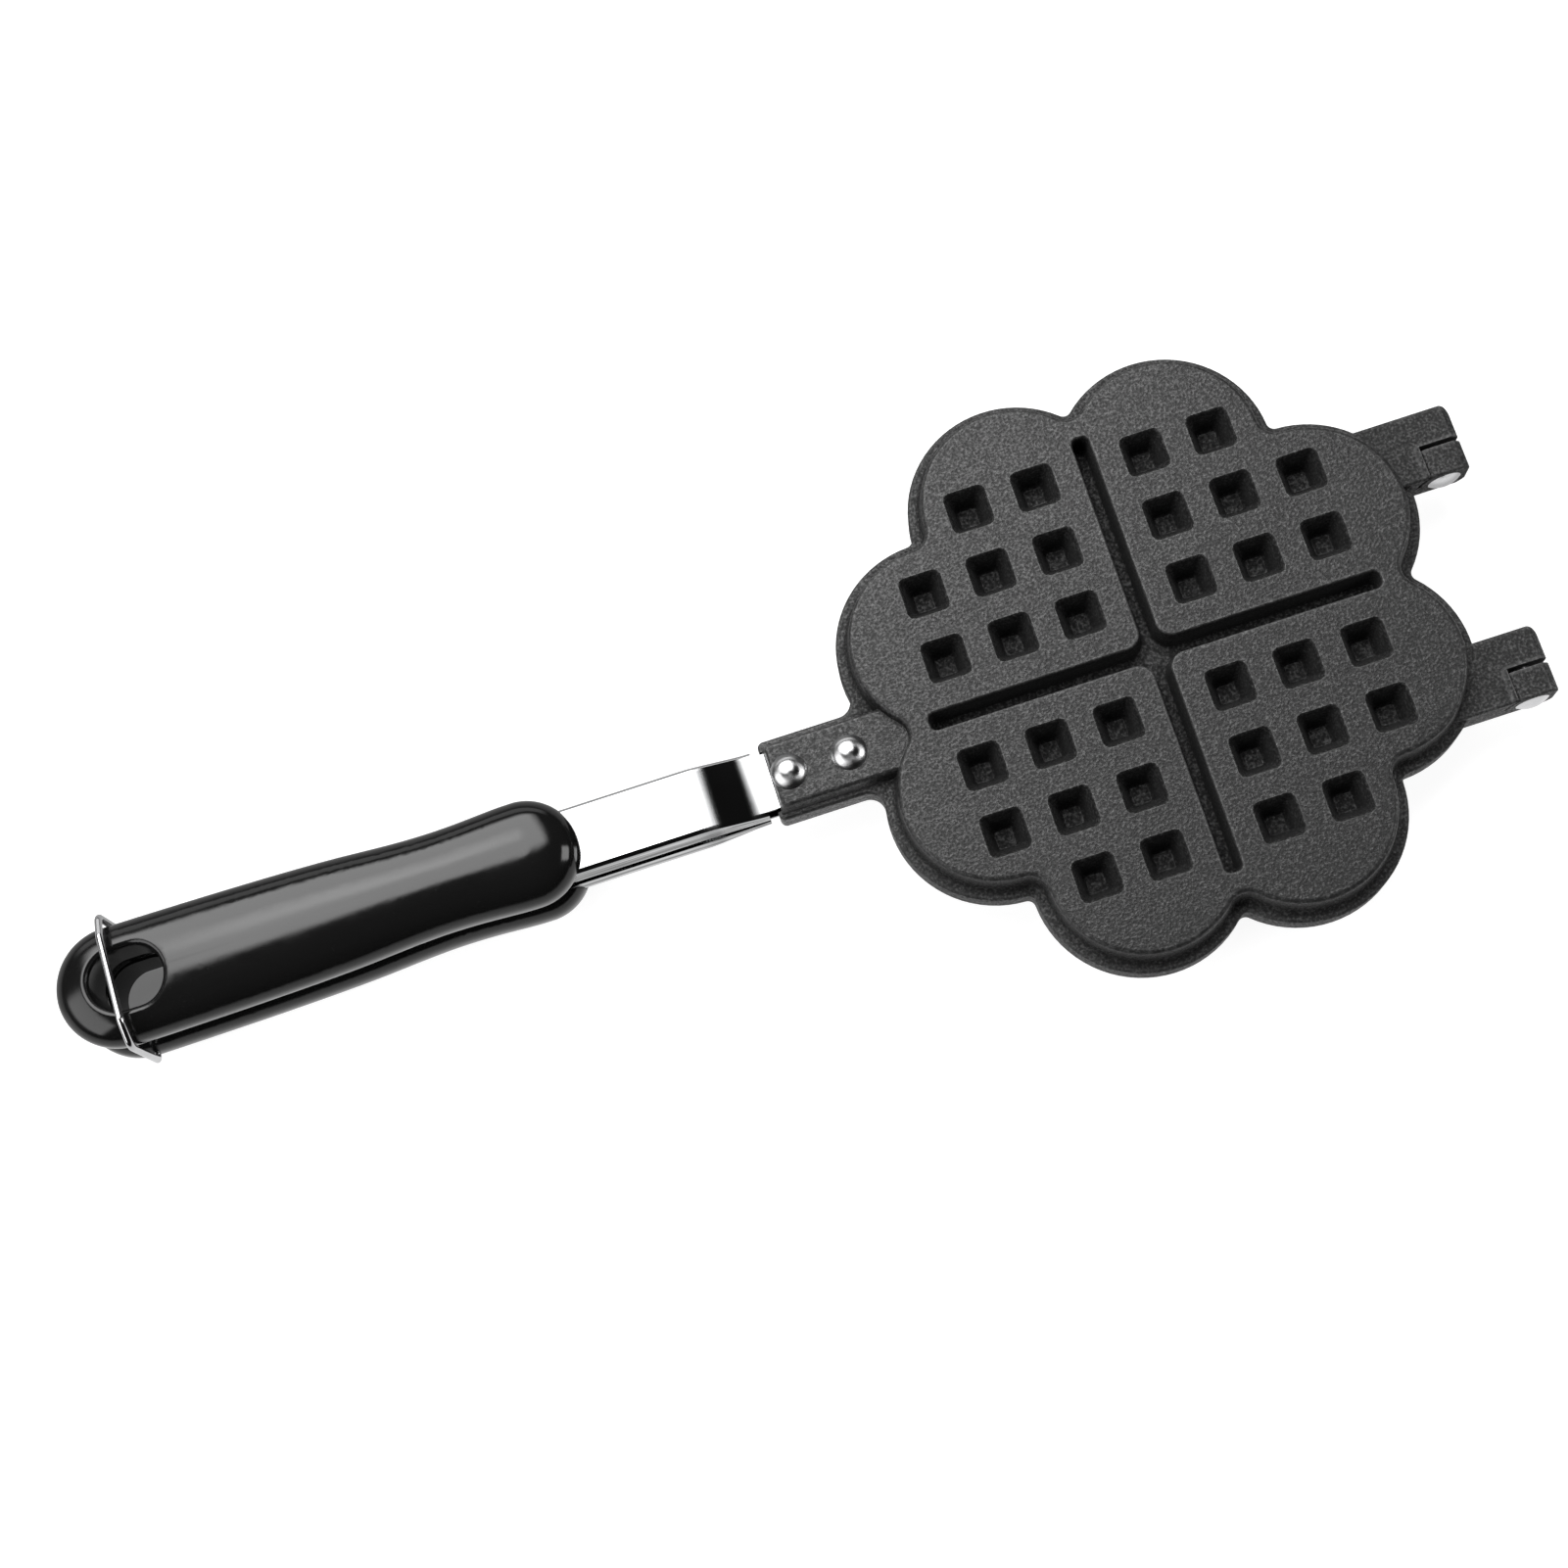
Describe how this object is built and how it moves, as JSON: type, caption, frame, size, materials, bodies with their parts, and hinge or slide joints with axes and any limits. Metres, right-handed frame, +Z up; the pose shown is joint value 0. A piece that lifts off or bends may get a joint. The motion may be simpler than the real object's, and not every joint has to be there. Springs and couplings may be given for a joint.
{
  "type": "heart waffle pan",
  "caption": "Hinged two-plate hob waffle pan with heart quarters, square grid pockets, chromed shanks, twin glossy grips and a swinging wire latch.",
  "frame": {"origin": "centre of the lower plate's flat underside", "axes": "+Z up through the plates, +X from the grips to the hinge, +Y across to the far hinge arm"},
  "size_m": [0.3769, 0.1516, 0.0384],
  "materials": {
    "plate_coating": "cast aluminium under a dark grey, finely speckled matt non-stick coating",
    "shank_chrome": "mirror chrome on bent sheet steel",
    "grip_black": "polished black thermoset moulding",
    "rivet_metal": "polished",
    "pin_steel": "bright, lightly turned",
    "wire_steel": "bright drawn wire",
    "screw_steel": "zinc bright"
  },
  "bodies": {
    "lower": {"lower_plate": "plate_coating", "lower_shank": "shank_chrome", "lower_grip": "grip_black", "lower_rivets": "rivet_metal", "lower_grip_screw": "screw_steel", "near_hinge_pin": "pin_steel", "far_hinge_pin": "pin_steel"},
    "upper": {"upper_plate": "plate_coating", "upper_shank": "shank_chrome", "upper_grip": "grip_black", "upper_rivets": "rivet_metal", "upper_grip_screw": "screw_steel"},
    "latch": {"latch_wire": "wire_steel"}
  },
  "joints": [
    {"name": "lid_hinge", "type": "hinge", "parent": "lower", "child": "upper", "pos_m": [0.0853, 0, 0.0113], "axis": [0, 1, 0], "range_deg": [0, 180]},
    {"name": "latch_swing", "type": "hinge", "parent": "lower", "child": "latch", "pos_m": [-0.2696, 0, 0.0024], "axis": [0, -1, 0], "range_deg": [0, 105]}
  ]
}
